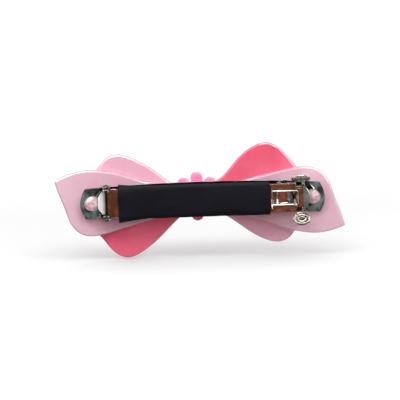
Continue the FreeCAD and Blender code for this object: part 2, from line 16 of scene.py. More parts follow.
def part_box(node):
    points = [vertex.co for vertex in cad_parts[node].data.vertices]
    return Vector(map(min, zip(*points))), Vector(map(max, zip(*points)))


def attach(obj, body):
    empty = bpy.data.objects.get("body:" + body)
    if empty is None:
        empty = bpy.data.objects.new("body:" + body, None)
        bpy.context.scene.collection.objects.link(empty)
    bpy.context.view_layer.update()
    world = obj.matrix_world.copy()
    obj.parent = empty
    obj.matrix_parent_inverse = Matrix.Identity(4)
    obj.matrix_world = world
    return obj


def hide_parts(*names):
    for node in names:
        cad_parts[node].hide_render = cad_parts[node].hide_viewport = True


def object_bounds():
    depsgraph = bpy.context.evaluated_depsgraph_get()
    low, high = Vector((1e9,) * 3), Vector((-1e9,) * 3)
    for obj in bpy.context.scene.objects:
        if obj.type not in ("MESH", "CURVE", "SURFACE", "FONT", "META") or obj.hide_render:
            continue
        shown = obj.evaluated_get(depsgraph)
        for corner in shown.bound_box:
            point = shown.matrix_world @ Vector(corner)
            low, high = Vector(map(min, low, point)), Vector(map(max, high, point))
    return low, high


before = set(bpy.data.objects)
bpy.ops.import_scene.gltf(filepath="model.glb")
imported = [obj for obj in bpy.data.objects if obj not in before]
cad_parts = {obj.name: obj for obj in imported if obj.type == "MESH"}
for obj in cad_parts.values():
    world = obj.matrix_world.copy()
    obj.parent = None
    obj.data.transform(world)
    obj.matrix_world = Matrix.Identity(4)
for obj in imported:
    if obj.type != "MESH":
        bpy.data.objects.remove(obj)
cad_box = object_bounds()
MM = 0.001
SAME_POINT = 1e-6  # points of one mesh that are closer than this are joined


# ---- Mesh helpers ----------------------------------------------------------------------------------------
def link_object(name, data):
    """A new object in the scene, for a mesh, a light or a camera."""
    obj = bpy.data.objects.new(name, data)
    bpy.context.scene.collection.objects.link(obj)
    return obj


def new_object(name, verts, faces):
    """A smooth mesh object from points and faces."""
    mesh = bpy.data.meshes.new(name)
    mesh.from_pydata([tuple(v) for v in verts], [], [tuple(f) for f in faces])
    mesh.validate()
    mesh.update()
    mesh.polygons.foreach_set("use_smooth", [True] * len(mesh.polygons))
    return link_object(name, mesh)


def finish_piece(obj, body, slot, material, *nodes):
    """Gives a piece its material and its body, and hides the CAD nodes that it stands for. The slot is not
    used.
    """
    obj.data.materials.clear()
    obj.data.materials.append(material)
    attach(obj, body)
    if nodes:
        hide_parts(*nodes)


def ring_angles(sides):
    """The angles of evenly spaced points on a ring, once round."""
    return [2 * math.pi * k / sides for k in range(sides)]


def ring_faces(rings, sides, first=0, closed=False):
    """Four-sided faces between rings of points, listed ring after ring from the point numbered first."""
    faces = []
    for i in range(rings if closed else rings - 1):
        here = first + i * sides
        there = first + (i + 1) % rings * sides
        for k in range(sides):
            n = (k + 1) % sides
            faces.append((here + k, here + n, there + n, there + k))
    return faces


def flipped(faces):
    """The same four-sided faces, seen from their other side."""
    return [(a, d, c, b) for a, b, c, d in faces]


def welded_copy(node):
    """A CAD node's mesh with its split points joined, as a new bmesh."""
    bm = bmesh.new()
    bm.from_mesh(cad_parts[node].data)
    bmesh.ops.remove_doubles(bm, verts=bm.verts, dist=SAME_POINT)
    bm.normal_update()
    return bm


# ---- Outlines --------------------------------------------------------------------------------------------
BACK_FACING = -0.5  # a face belongs to a sheet's back when its normal's Y is below this
BLUR_REACH = 4  # how many times the blur the rounding looks along an outline
CHUNK = 2000  # points measured at a time


def outline_of(node):
    """The outline of a bent sheet as (x, z) points in order, read from the rim of its back face."""
    bm = welded_copy(node)
    back = {f for f in bm.faces if f.normal.y < BACK_FACING}
    rim = [e for e in bm.edges if sum(f in back for f in e.link_faces) == 1]
    steps = {}
    for e in rim:
        a, b = e.verts
        steps.setdefault(a, []).append(b)
        steps.setdefault(b, []).append(a)
    start = rim[0].verts[0]
    loop, last, here = [start], None, start
    while True:
        onward = [v for v in steps[here] if v is not last]
        last, here = here, onward[0]
        if here is start:
            break
        loop.append(here)
    points = np.array([(v.co.x, v.co.z) for v in loop])
    bm.free()
    ahead = np.roll(points, -1, axis=0)
    twice_area = np.sum(points[:, 0] * ahead[:, 1] - ahead[:, 0] * points[:, 1])
    return points if twice_area > 0 else points[::-1]


def evenly(points, step, blur):
    """A closed outline with points about step apart, rounded over a distance of about blur."""
    closed = np.vstack([points, points[:1]])
    along = np.concatenate([[0], np.cumsum(np.linalg.norm(np.diff(closed, axis=0), axis=1))])
    count = int(round(along[-1] / step))
    at = np.linspace(0, along[-1], count, endpoint=False)
    even = np.stack([np.interp(at, along, closed[:, k]) for k in (0, 1)], axis=1)
    reach = int(BLUR_REACH * blur / step)
    offsets = np.arange(-reach, reach + 1)
    weights = np.exp(-0.5 * (offsets * step / blur) ** 2)
    weights /= weights.sum()
    return sum(w * np.roll(even, -k, axis=0) for k, w in zip(offsets, weights))


def distance_to(outline, points):
    """The distance from each point to a dense outline."""
    out = np.empty(len(points))
    for i in range(0, len(points), CHUNK):
        gap = points[i : i + CHUNK][:, None, :] - outline[None, :, :]
        out[i : i + CHUNK] = np.sqrt((gap**2).sum(2)).min(1)
    return out


def inside(outline, points):
    """True for each point inside a closed outline."""
    x, y = points[:, 0][:, None], points[:, 1][:, None]
    x1, y1 = outline[:, 0], outline[:, 1]
    x2, y2 = np.roll(x1, -1), np.roll(y1, -1)
    crosses = (y1 > y) != (y2 > y)
    at = (x2 - x1) * (y - y1) / np.where(y2 == y1, 1e-12, y2 - y1) + x1
    return (crosses & (x < at)).sum(1) % 2 == 1


# ---- Acetate sheets --------------------------------------------------------------------------------------
SHEET_THICK = 1.7 * MM
EDGE_ROUND = 0.30 * MM  # how far in from the outline the edge is rounded
EDGE_TURNS = (12, 26, 42, 62, 90)  # degrees round the edge at which a row of points lies
FACET = (0.30 * MM, 0.55 * MM)  # a narrow polished facet, by distance from the outline
FACET_FALL = 0.11 * MM  # how far the facet's outer side lies below the broad face
INNER_ROWS = (0.38, 0.47, 0.55, 0.64, 0.9, 1.4, 2.1)  # millimetres from the outline to the inner rows
ROW_CLEAR = 0.985  # a row's point stays when its real distance is more than this share of the row's
OUTLINE_STEP = 0.32 * MM
TIP_BLUR = 0.35 * MM  # how far the outline's corners are rounded
EDGE_SHADE_WIDTH = 0.26 * MM  # the width of the painted shade line along a clear edge
GRID_STEP = 0.85 * MM
GRID_CLEAR = 0.6  # grid steps left free beside the innermost row
ROW_HEIGHT = 0.866  # height of an even triangle with sides of 1
ON_EDGE = 1e-7
INSIDE_ONLY = 1  # keeps the triangles inside the ring
TRIANGLE_GAP = 1e-9


def bent(radius, flat_x):
    """How far a bent sheet has fallen at x: an arc, running straight beyond flat_x."""
    slope = math.asin(flat_x / radius)
    edge = radius - math.sqrt(radius**2 - flat_x**2)

    def fall(x):
        x = np.abs(x)
        arc = radius - np.sqrt(radius**2 - np.minimum(x, flat_x) ** 2)
        return np.where(x <= flat_x, arc, edge + (x - flat_x) * math.tan(slope))

    return fall


def sheet_points(outline):
    """Points for a sheet's triangles: the outline, rows beside it that get wider apart, and a grid."""
    ahead, behind = np.roll(outline, -1, axis=0), np.roll(outline, 1, axis=0)
    run = ahead - behind
    run /= np.linalg.norm(run, axis=1)[:, None]
    inward = np.stack([-run[:, 1], run[:, 0]], axis=1)
    levels = [EDGE_ROUND * (1 - math.cos(a)) for a in np.radians(EDGE_TURNS)]
    levels += [level * MM for level in INNER_ROWS]
    rows = [outline]
    for level in levels:
        row = outline + inward * level
        clear = distance_to(outline, row) > ROW_CLEAR * level
        rows.append(row[clear & inside(outline, row)])
    low, high = outline.min(0), outline.max(0)
    xs = np.arange(low[0], high[0], GRID_STEP)
    zs = np.arange(low[1], high[1], GRID_STEP * ROW_HEIGHT)
    grid = np.array([(x + (j % 2) * GRID_STEP / 2, z) for j, z in enumerate(zs) for x in xs])
    grid = grid[inside(outline, grid)]
    rows.append(grid[distance_to(outline, grid) > levels[-1] + GRID_STEP * GRID_CLEAR])
    return np.vstack(rows)


def half_thickness(distance):
    """Half the sheet's thickness at a distance from its edge: a round edge, then a narrow facet."""
    near = np.clip(distance / EDGE_ROUND, 0, 1)
    edge = np.sqrt(np.clip(1 - (1 - near) ** 2, 0, 1))
    rise = np.clip((distance - FACET[0]) / (FACET[1] - FACET[0]), 0, 1)
    return edge * (SHEET_THICK / 2 - FACET_FALL * (1 - rise))


def acetate_sheet(name, node, radius, flat_x, body, slot, material):
    """A polished sheet that follows its CAD node's outline and bend, with rounded edges on both faces."""
    low, high = (Vector(c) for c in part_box(node))
    outline = evenly(outline_of(node), OUTLINE_STEP, TIP_BLUR)
    flat = sheet_points(outline)
    count = len(outline)
    ring = [(i, (i + 1) % count) for i in range(count)]
    made = geometry.delaunay_2d_cdt([Vector(p) for p in flat], ring, [], INSIDE_ONLY, TRIANGLE_GAP)
    points = np.array([tuple(p) for p in made[0]])
    triangles = made[2]
    edge_distance = distance_to(outline, points)
    edge_distance[edge_distance < ON_EDGE] = 0
    middle = (low.x + high.x) / 2
    mid_y = high.y - SHEET_THICK / 2 - bent(radius, flat_x)(points[:, 0] - middle)
    half = half_thickness(edge_distance)
    total = len(points)
    on_edge = edge_distance == 0
    front_index = np.arange(total)
    back_index = np.where(on_edge, front_index, 0)
    back_index[~on_edge] = total + np.arange((~on_edge).sum())
    front = np.stack([points[:, 0], mid_y + half, points[:, 1]], axis=1)
    back = np.stack([points[:, 0], mid_y - half, points[:, 1]], axis=1)[~on_edge]
    faces = []
    for a, b, c in triangles:
        faces.append((front_index[a], front_index[c], front_index[b]))
        faces.append((back_index[a], back_index[b], back_index[c]))
    obj = new_object(name, np.vstack([front, back]), faces)
    # Painted shade: a darker line along the sheet's edge, where a clear edge looks dark.
    rim = np.exp(-((edge_distance / EDGE_SHADE_WIDTH) ** 2))
    painted_edge_shade = obj.data.attributes.new("rim", "FLOAT", "POINT")
    painted_edge_shade.data.foreach_set("value", np.concatenate([rim, rim[~on_edge]]).astype(np.float32))
    finish_piece(obj, body, slot, material, node)


# ---- Metal pieces ----------------------------------------------------------------------------------------
PLATE_BEND = 90 * MM
ARM_BEND = 620 * MM
LIP_Y = -3.5 * MM  # the arm's outer face at mid length, as if the arc ran on
BROAD_ANGLE = math.radians(8)  # a face this close to the arc's normal is one of the broad faces
FLAT_SPAN = 0.15 * MM  # area over outline length, above which one of the other faces is shaded flat
LEVEL_ANGLE = math.radians(0.4)  # faces that meet at less than this are joined
SHARP_ANGLE = math.radians(35)  # edges sharper than this are broken
CREASE_ANGLE = math.radians(50)  # edges sharper than this stay creases in the shading
BREAK_STEPS = 2  # faces across a broken edge


def true_bend(mesh, radius):
    """Gives a bent strip's broad faces the exact normals of its arc, and each big side face one normal."""
    mesh.update()
    normals = [Vector(n.vector) for n in mesh.corner_normals]
    for face in mesh.polygons:
        lean = -face.center.x / radius
        arc = Vector((lean, -math.sqrt(1 - lean * lean), 0))
        way = face.normal.dot(arc)
        if abs(way) < math.cos(BROAD_ANGLE):
            rim = sum((mesh.vertices[a].co - mesh.vertices[b].co).length for a, b in face.edge_keys)
            if face.area > FLAT_SPAN * rim:
                for corner in face.loop_indices:
                    normals[corner] = face.normal.copy()
            continue
        for corner in face.loop_indices:
            lean = -mesh.vertices[mesh.loops[corner].vertex_index].co.x / radius
            arc = Vector((lean, -math.sqrt(1 - lean * lean), 0))
            normals[corner] = arc if way > 0 else -arc
    mesh.normals_split_custom_set(normals)


def softened(name, node, body, slot, material, width, bend):
    """A CAD node's shape with its sharp edges broken, as pressed and plated metal has."""
    bm = welded_copy(node)
    bmesh.ops.dissolve_limit(
        bm, angle_limit=LEVEL_ANGLE, verts=bm.verts, edges=bm.edges, delimit={"NORMAL"}
    )
    sharp = [e for e in bm.edges if len(e.link_faces) == 2 and e.calc_face_angle(0) > SHARP_ANGLE]
    bmesh.ops.bevel(
        bm,
        geom=sharp,
        offset=width,
        offset_type="OFFSET",
        segments=BREAK_STEPS,
        profile=0.5,
        affect="EDGES",
        clamp_overlap=True,
    )
    mesh = bpy.data.meshes.new(name)
    bm.to_mesh(mesh)
    bm.free()
    mesh.polygons.foreach_set("use_smooth", [True] * len(mesh.polygons))
    mesh.set_sharp_from_angle(angle=CREASE_ANGLE)
    obj = link_object(name, mesh)
    if bend:
        true_bend(mesh, bend)
    else:
        even = obj.modifiers.new("even_normals", "WEIGHTED_NORMAL")
        even.keep_sharp = True
    finish_piece(obj, body, slot, material, node)


# ---- Beads on the arm ------------------------------------------------------------------------------------
BEAD_SIDES = 14
LIP_X = (22.85 * MM, 31.15 * MM)  # the lip round the window, from end to end along the arm
LIP_HALF_Z = 2.28 * MM
LIP_CORNER = 0.45 * MM
LIP_BEAD = 0.34 * MM
BAR_RIB = (24.55, 2.3, 0.32)  # place along the arm, half length and radius, in millimetres
STOP_RIB = (22.75, 3.5, 0.30)
CORNER_STEPS = 6


def bead_along(name, path, bead, closed):
    """A thin round bead that follows (x, z) points on the arm's outer face; each has its outward way."""
    verts = []
    for x, z, out in path:
        y = LIP_Y - (ARM_BEND - math.sqrt(ARM_BEND**2 - x * x))
        for angle in ring_angles(BEAD_SIDES):
            verts.append(Vector((x, y - bead * math.sin(angle), z)) + out * bead * math.cos(angle))
    count = len(path)
    faces = ring_faces(count, BEAD_SIDES, closed=closed)
    if not closed:
        faces.append(tuple(range(BEAD_SIDES)))
        faces.append(tuple((count - 1) * BEAD_SIDES + k for k in reversed(range(BEAD_SIDES))))
    return new_object(name, verts, faces)


def window_lip(name):
    """The rounded lip round the arm's window: a rectangle with soft corners."""
    path = []
    for side_x, side_z, start in ((1, 1, 0), (-1, 1, 90), (-1, -1, 180), (1, -1, 270)):
        middle_x = (LIP_X[1] - LIP_CORNER) if side_x > 0 else (LIP_X[0] + LIP_CORNER)
        for k in range(CORNER_STEPS + 1):
            angle = math.radians(start + 90 / CORNER_STEPS * k)
            x = middle_x + LIP_CORNER * math.cos(angle)
            z = side_z * (LIP_HALF_Z - LIP_CORNER) + LIP_CORNER * math.sin(angle)
            path.append((x, z, Vector((math.cos(angle), 0, math.sin(angle)))))
    return bead_along(name, path, LIP_BEAD, True)


def rib(name, x, half_z, bead):
    """A straight rib across the arm: one beside the window, one that the sleeve ends against."""
    path = [(x * MM, z * MM, Vector((1, 0, 0))) for z in (-half_z, 0.0, half_z)]
    return bead_along(name, path, bead * MM, False)


# ---- Glue in the end holes -------------------------------------------------------------------------------
HOLE_Y = -2.95 * MM  # where the glue meets the rim of an end hole
DOME_RADIUS = 2.25 * MM
DOME_RISE = 0.6 * MM
DOME_RINGS = 14
DOME_SIDES = 48
DOME_RIPPLE = 0.16 * MM
RIPPLES = 900  # ripples to a metre
DOME_SHIFT = 999  # keeps the two domes' ripples apart


def glue_dome(name, node):
    """The rounded, slightly rippled top of the glue that has risen into an end hole."""
    low, high = (Vector(c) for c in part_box(node))
    centre_x = (low.x + high.x) / 2
    tilt = -centre_x / PLATE_BEND
    out = Vector((tilt, -math.sqrt(1 - tilt * tilt), 0))
    along = Vector((out.y, -out.x, 0))
    mid = Vector((centre_x, HOLE_Y, 0))
    verts = [mid + out * DOME_RISE]
    for i in range(1, DOME_RINGS + 1):
        r = DOME_RADIUS * i / DOME_RINGS
        for angle in ring_angles(DOME_SIDES):
            flat = along * (r * math.cos(angle)) + Vector((0, 0, r * math.sin(angle)))
            ripple = DOME_RIPPLE * noise.noise(flat * RIPPLES + Vector((centre_x * DOME_SHIFT, 0, 0)))
            height = (DOME_RISE + ripple) * (1 - (i / DOME_RINGS) ** 2)
            verts.append(mid + flat + out * height)
    faces = [(0, 1 + (k + 1) % DOME_SIDES, 1 + k) for k in range(DOME_SIDES)]
    faces += ring_faces(DOME_RINGS, DOME_SIDES, first=1)
    obj = new_object(name, verts, faces)
    bm = bmesh.new()
    bm.from_mesh(obj.data)
    bmesh.ops.recalc_face_normals(bm, faces=bm.faces)
    if sum(f.normal.dot(out) for f in bm.faces) < 0:
        bmesh.ops.reverse_faces(bm, faces=bm.faces)
    bm.to_mesh(obj.data)
    bm.free()
    return obj


# ---- The satin sleeve ------------------------------------------------------------------------------------
CLOTH = 0.17 * MM
SLEEVE_RINGS = 150
SLEEVE_ROUND = 72
SLEEVE_HALF = 0.66 * MM  # half the sleeve's thickness over the arm
FOLD_SHARE = 0.3  # what is left of that at the two folds
OVER_EDGE = 1.12  # where the sleeve gets thinner, in half widths of the arm
EDGE_STEEP = 20  # how quickly it gets thinner there
SQUARE_FACE = 0.35  # power that flattens the sleeve's two faces
ARM_THICK = 0.6 * MM
ARM_GAP = 0.4 * MM  # from the +Y side of the sleeve's box to the arm's inner face at mid length
FLARE = 1.15 * MM  # how much wider half the sleeve is at its hinge end
FLARE_LENGTH = 0.2  # share of the sleeve's length
FLARE_UPPER = 0.62  # the upper fold's share of the flare
FLARE_EASE = 1.6  # above 1, the flare begins gently
FOLD_WANDER = 0.10 * MM
RIPPLE = 0.07 * MM
PULL = 0.10 * MM
PULL_LENGTH = 0.10  # share of the sleeve's length
PULL_SPACING = 1.35 * MM
END_INSET = 0.02 * MM  # how far the inner skin ends inside the outer one
ON_FOLD = 1e-9


def sleeve_section(angle, half_width, half_arm, plump):
    """A flattened tube's section: (y, z) at an angle, thick over the arm and pinched at its two folds."""
    z = half_width * math.cos(angle)
    across = abs(z) / half_arm
    over_arm = 1 / (1 + math.exp((across - OVER_EDGE) * EDGE_STEEP))
    flat = plump * (FOLD_SHARE + (1 - FOLD_SHARE) * over_arm)
    side = math.copysign(abs(math.sin(angle)) ** SQUARE_FACE, math.sin(angle))
    return flat * side, z


def sleeve_swell(t, x, y, z):
    """How far the cloth stands off: slanting ripples, and short pulls beside the hinge end."""
    # The factors of x and z are ripples to a metre, and the third place keeps the two faces apart.
    slanting = Vector((x * 120 + z * 95, z * 260 - x * 60, 1.7 * (y > 0)))
    upright = Vector((x * 420, z * 160, 4.0 + (y > 0)))
    ripple = noise.noise(slanting) + 0.5 * noise.noise(upright)
    pull = PULL * math.exp(-t / PULL_LENGTH) * math.sin(z / PULL_SPACING)
    return RIPPLE * ripple + pull


def sleeve_mesh(name):
    """The satin sleeve: an outer and an inner skin joined at both open ends, with soft pulls and ripples."""
    low, high = (Vector(c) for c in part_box("arm_sleeve"))
    arm_low, arm_high = (Vector(c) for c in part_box("clasp_arm"))
    half_arm = (arm_high.z - arm_low.z) / 2
    length = high.x - low.x
    usual = high.z - FLARE
    inner_y = high.y - ARM_GAP

    def ring_of(t, inset, skin):
        """One ring of points, at a share t of the length from the hinge end and a skin's depth in."""
        x = low.x + inset + (length - 2 * inset) * t
        widen = (high.z - usual) * max(0.0, 1 - t / FLARE_LENGTH) ** FLARE_EASE
        mid_y = inner_y - ARM_THICK / 2 - (ARM_BEND - math.sqrt(ARM_BEND**2 - x * x))
        row = []
        for angle in ring_angles(SLEEVE_ROUND):
            lower = math.cos(angle) < 0
            half = usual + widen * (1.0 if lower else FLARE_UPPER)
            half += FOLD_WANDER * noise.noise(Vector((x * 260, 3.1 if lower else 8.7, 0.0)))
            y, z = sleeve_section(angle, half - skin, half_arm, SLEEVE_HALF - skin)
            swell = sleeve_swell(t, x, y, z)
            y += math.copysign(1, y) * swell if abs(y) > ON_FOLD else 0
            row.append((x, mid_y + y, z))
        return row

    shares = [i / (SLEEVE_RINGS - 1) for i in range(SLEEVE_RINGS)]
    rows = [ring_of(t, 0, 0) for t in shares]
    rows += [ring_of(1 - t, END_INSET, CLOTH) for t in shares]
    verts = [point for row in rows for point in row]
    return new_object(name, verts, flipped(ring_faces(len(rows), SLEEVE_ROUND, closed=True)))


# ---- The daisy -------------------------------------------------------------------------------------------
PETALS = 8
PETAL_HALF = 2.075 * MM  # half a petal's width
NOTCH = 4.4 * MM  # how far out the notches between the petals lie
HUB = (3.0 * MM, 0.5 * MM)  # the middle dome's radius, and how softly it ends
DAISY_RINGS = 40
DAISY_SIDES = 16 * PETALS
RING_CROWDING = 0.7  # below 1, the rings lie closer towards the edge
BACK_ROUND = 0.3 * MM
BACK_POWER = 8  # the higher, the flatter the back and the tighter its rounding
RELIEF = 0.86  # share of the height that stands above the back's rounding
EDGE_POWER = 10  # the higher, the flatter the front and the tighter its edge
PETAL_POWER = 2.4  # the same across one petal
LOWEST = 0.35  # the creases between petals, as a share of the flower's thickness
CROWN = 0.6  # what a petal's middle stands above them, as the same share
DOME = 0.8  # the middle dome's share of that


def off_petal(angle):
    """The angle from the nearest petal's middle line."""
    step = 2 * math.pi / PETALS
    return (angle + step / 2) % step - step / 2


def daisy_mesh(name):
    """Eight plump round-ended petals about a low dome, in one moulded piece with a flat back."""
    low, high = (Vector(c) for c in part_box("daisy_flower"))
    centre = (low + high) / 2
    petal_centre = (high.x - low.x) / 2 - PETAL_HALF
    thick = high.y - low.y

    def edge_reach(angle):
        """The flower's outline: how far it reaches at an angle."""
        across = petal_centre * math.sin(off_petal(angle))
        tip = 0.0
        if abs(across) < PETAL_HALF:
            tip = petal_centre * math.cos(off_petal(angle)) + math.sqrt(PETAL_HALF**2 - across**2)
        return max(tip, NOTCH)

    def height(r, angle, limit):
        """The front's height above the back at a place on the flower."""
        across = abs(r * math.sin(off_petal(angle))) / PETAL_HALF
        round_off = math.sqrt(max(0.0, 1 - (r / limit) ** EDGE_POWER))
        petal = math.sqrt(max(0.0, 1 - min(1.0, across) ** PETAL_POWER))
        dome = 1 / (1 + math.exp((r - HUB[0]) / HUB[1]))
        return thick * round_off * (LOWEST + CROWN * max(petal, dome * DOME))

    angles = ring_angles(DAISY_SIDES)
    sharp = [edge_reach(angle) for angle in angles]
    limits = [(sharp[k - 1] + 2 * sharp[k] + sharp[(k + 1) % DAISY_SIDES]) / 4 for k in range(DAISY_SIDES)]
    fronts, backs = [], []
    for i in range(DAISY_RINGS + 1):
        share = (i / DAISY_RINGS) ** RING_CROWDING
        for angle, limit in zip(angles, limits):
            r = share * limit
            x = centre.x + r * math.cos(angle)
            z = centre.z + r * math.sin(angle)
            fronts.append((x, low.y + BACK_ROUND + height(r, angle, limit) * RELIEF, z))
            pad = BACK_ROUND * (1 - math.sqrt(max(0.0, 1 - share**BACK_POWER)))
            backs.append((x, low.y + pad, z))
    shift = len(fronts)
    faces = []
    for a, b, c, d in ring_faces(DAISY_RINGS + 1, DAISY_SIDES):
        faces.append((a, b, c, d))
        faces.append((shift + d, shift + c, shift + b, shift + a))
    last = DAISY_RINGS * DAISY_SIDES
    for k in range(DAISY_SIDES):
        n = (k + 1) % DAISY_SIDES
        faces.append((last + k, last + n, shift + last + n, shift + last + k))
    obj = new_object(name, fronts + backs, faces)
    bm = bmesh.new()
    bm.from_mesh(obj.data)
    bmesh.ops.remove_doubles(bm, verts=bm.verts, dist=SAME_POINT)
    bmesh.ops.recalc_face_normals(bm, faces=bm.faces)
    bm.to_mesh(obj.data)
    bm.free()
    return obj


# ---- Shader helpers --------------------------------------------------------------------------------------
CREVICE_SHADE_REACH = 1.0 * MM  # painted shade: how near two metal surfaces must be for the colour between them to be darkened
MIX_SHARE, MIX_FIRST, MIX_SECOND, MIX_RESULT = 0, 6, 7, 2  # a Mix node's sockets for colours


def material_base(name):
    """A new material with its Principled shader, as (material, nodes, links, shader)."""
    mat = bpy.data.materials.new(name)
    mat.use_nodes = True
    nodes, links = mat.node_tree.nodes, mat.node_tree.links
    return mat, nodes, links, nodes["Principled BSDF"]


def set_inputs(node, values):
    """Sets a node's own sockets to plain values."""
    for socket, value in values.items():
        node.inputs[socket].default_value = value


def feed(links, socket, value):
    """Joins a socket to another node's output, or sets it to a plain value."""
    if isinstance(value, bpy.types.NodeSocket):
        links.new(value, socket)
    else:
        socket.default_value = value


def object_noise(nodes, links, scale, detail, stretch=(1, 1, 1)):
    """A noise in the piece's own coordinates, as a value from 0 to 1."""
    place = nodes.new("ShaderNodeTexCoord")
    mapping = nodes.new("ShaderNodeMapping")
    texture = nodes.new("ShaderNodeTexNoise")
    set_inputs(mapping, {"Scale": stretch})
    set_inputs(texture, {"Scale": scale, "Detail": detail})
    links.new(place.outputs["Object"], mapping.inputs["Vector"])
    links.new(mapping.outputs["Vector"], texture.inputs["Vector"])
    return texture.outputs["Fac"]


def ramp(nodes, links, source, stops):
    """A colour ramp on a value; stops are (place, colour)."""
    node = nodes.new("ShaderNodeValToRGB")
    while len(node.color_ramp.elements) < len(stops):
        node.color_ramp.elements.new(0.5)
    for element, (place, colour) in zip(node.color_ramp.elements, stops):
        element.position = place
        element.color = (*colour, 1)
    links.new(source, node.inputs["Fac"])
    return node.outputs["Color"]


def rescaled(nodes, links, source, before, after):
    """A value carried from one range to another, and held within it."""
    node = nodes.new("ShaderNodeMapRange")
    set_inputs(node, {"From Min": before[0], "From Max": before[1], "To Min": after[0], "To Max": after[1]})
    links.new(source, node.inputs["Value"])
    return node.outputs["Result"]


def reckoned(nodes, links, operation, *values):
    """The result of a sum on one or two values."""
    node = nodes.new("ShaderNodeMath")
    node.operation = operation
    for socket, value in zip(node.inputs, values):
        feed(links, socket, value)
    return node.outputs["Value"]


def mixed(nodes, links, share, first, second, blend="MIX"):
    """Two colours mixed by a share."""
    node = nodes.new("ShaderNodeMix")
    node.data_type = "RGBA"
    node.blend_type = blend
    for key, value in ((MIX_SHARE, share), (MIX_FIRST, first), (MIX_SECOND, second)):
        feed(links, node.inputs[key], value)
    return node.outputs[MIX_RESULT]


def bump(nodes, links, shader, source, distance, strength=1.0):
    """A bump from a value, its height in metres."""
    node = nodes.new("ShaderNodeBump")
    set_inputs(node, {"Strength": strength, "Distance": distance})
    links.new(source, node.inputs["Height"])
    links.new(node.outputs["Normal"], shader.inputs["Normal"])


# ---- Materials -------------------------------------------------------------------------------------------
def chrome(
    name, tint, rough=(0.05, 0.13), wave=0.06 * MM, smudge_and_reflection_share=0.75, crevice_shade_power=1.6, metallic=1.0
):
    """Bright plated steel: faint waves in the pressed strip, darker patches (smudges, and on the base plate
    painted reflection), painted shade in its crevices, and fine rolling lines along X.
    """
    mat, nodes, links, shader = material_base(name)
    smudge = object_noise(nodes, links, 260, 4)
    # Darker patches: smudges, and on the base plate mostly painted reflection of a dim mottled room.
    smudge_and_reflection_colour = [c * smudge_and_reflection_share for c in tint]
    colours = ramp(nodes, links, smudge, [(0.42, smudge_and_reflection_colour), (0.6, tint)])
    # Painted shade: ambient occlusion darkens the colour in creases and in gaps between parts.
    crevice_occlusion = nodes.new("ShaderNodeAmbientOcclusion")
    set_inputs(crevice_occlusion, {"Distance": CREVICE_SHADE_REACH})
    crevice_occlusion.samples = 8
    painted_crevice_shade = reckoned(nodes, links, "POWER", crevice_occlusion.outputs["AO"], crevice_shade_power)
    crevice_shaded_colour = mixed(nodes, links, 1.0, colours, painted_crevice_shade, "MULTIPLY")
    links.new(crevice_shaded_colour, shader.inputs["Base Color"])
    lines = object_noise(nodes, links, 900, 2, (0.05, 1, 1))
    roughness = rescaled(nodes, links, lines, (0, 1), rough)
    links.new(roughness, shader.inputs["Roughness"])
    set_inputs(shader, {"Metallic": metallic})
    bump(nodes, links, shader, object_noise(nodes, links, 330, 1.5, (0.6, 1, 1)), wave)
    return mat


def acetate(name, deep, pale, clear, glow):
    """Milky polished acetate: cloudy colour, light that spreads inside it, a wet gloss, and a dark line of
    painted shade along its edges.
    """
    mat, nodes, links, shader = material_base(name)
    cloud = object_noise(nodes, links, 55, 3)
    colours = ramp(nodes, links, cloud, [(0.3, deep), (0.7, pale)])
    # Painted shade: the colour darkens along the edges, read from the sheet's rim attribute.
    rim = nodes.new("ShaderNodeAttribute")
    rim.attribute_name = "rim"
    share = rescaled(nodes, links, rim.outputs["Fac"], (0, 1), (0, 0.9))
    edge = (*(0.42 * c for c in deep), 1)
    links.new(mixed(nodes, links, share, colours, edge), shader.inputs["Base Color"])
    look = {
        "Subsurface Weight": glow,
        "Subsurface Radius": (1.0, 0.55, 0.6),
        "Subsurface Scale": 1.6 * MM,
        "Transmission Weight": clear,
        "Roughness": 0.11,
        "IOR": 1.49,
        "Coat Weight": 1.0,
        "Coat IOR": 1.9,
        "Coat Roughness": 0.03,
    }
    set_inputs(shader, look)
    bump(nodes, links, shader, object_noise(nodes, links, 120, 1), 0.03 * MM)
    return mat


def satin(name):
    """Black satin: long floats of thread over a fine weave, with a soft cool sheen."""
    mat, nodes, links, shader = material_base(name)
    place = nodes.new("ShaderNodeTexCoord")
    threads = nodes.new("ShaderNodeTexWave")
    threads.wave_type = "BANDS"
    threads.bands_direction = "Z"
    set_inputs(threads, {"Scale": 1400, "Distortion": 1.2, "Detail": 1.0, "Detail Scale": 40})
    links.new(place.outputs["Object"], threads.inputs["Vector"])
    cloud = object_noise(nodes, links, 150, 3, (0.5, 1, 1))
    colours = ramp(nodes, links, cloud, [(0.3, (0.002, 0.002, 0.004)), (0.75, (0.005, 0.005, 0.010))])
    links.new(colours, shader.inputs["Base Color"])
    roughness = rescaled(nodes, links, threads.outputs["Fac"], (0, 1), (0.42, 0.6))
    links.new(roughness, shader.inputs["Roughness"])
    look = {
        "Sheen Weight": 0.03,
        "Sheen Roughness": 0.4,
        "Sheen Tint": (0.55, 0.6, 0.8, 1),
        "Specular IOR Level": 0.12,
    }
    set_inputs(shader, look)
    bump(nodes, links, shader, threads.outputs["Fac"], 0.012 * MM, 0.6)
    return mat


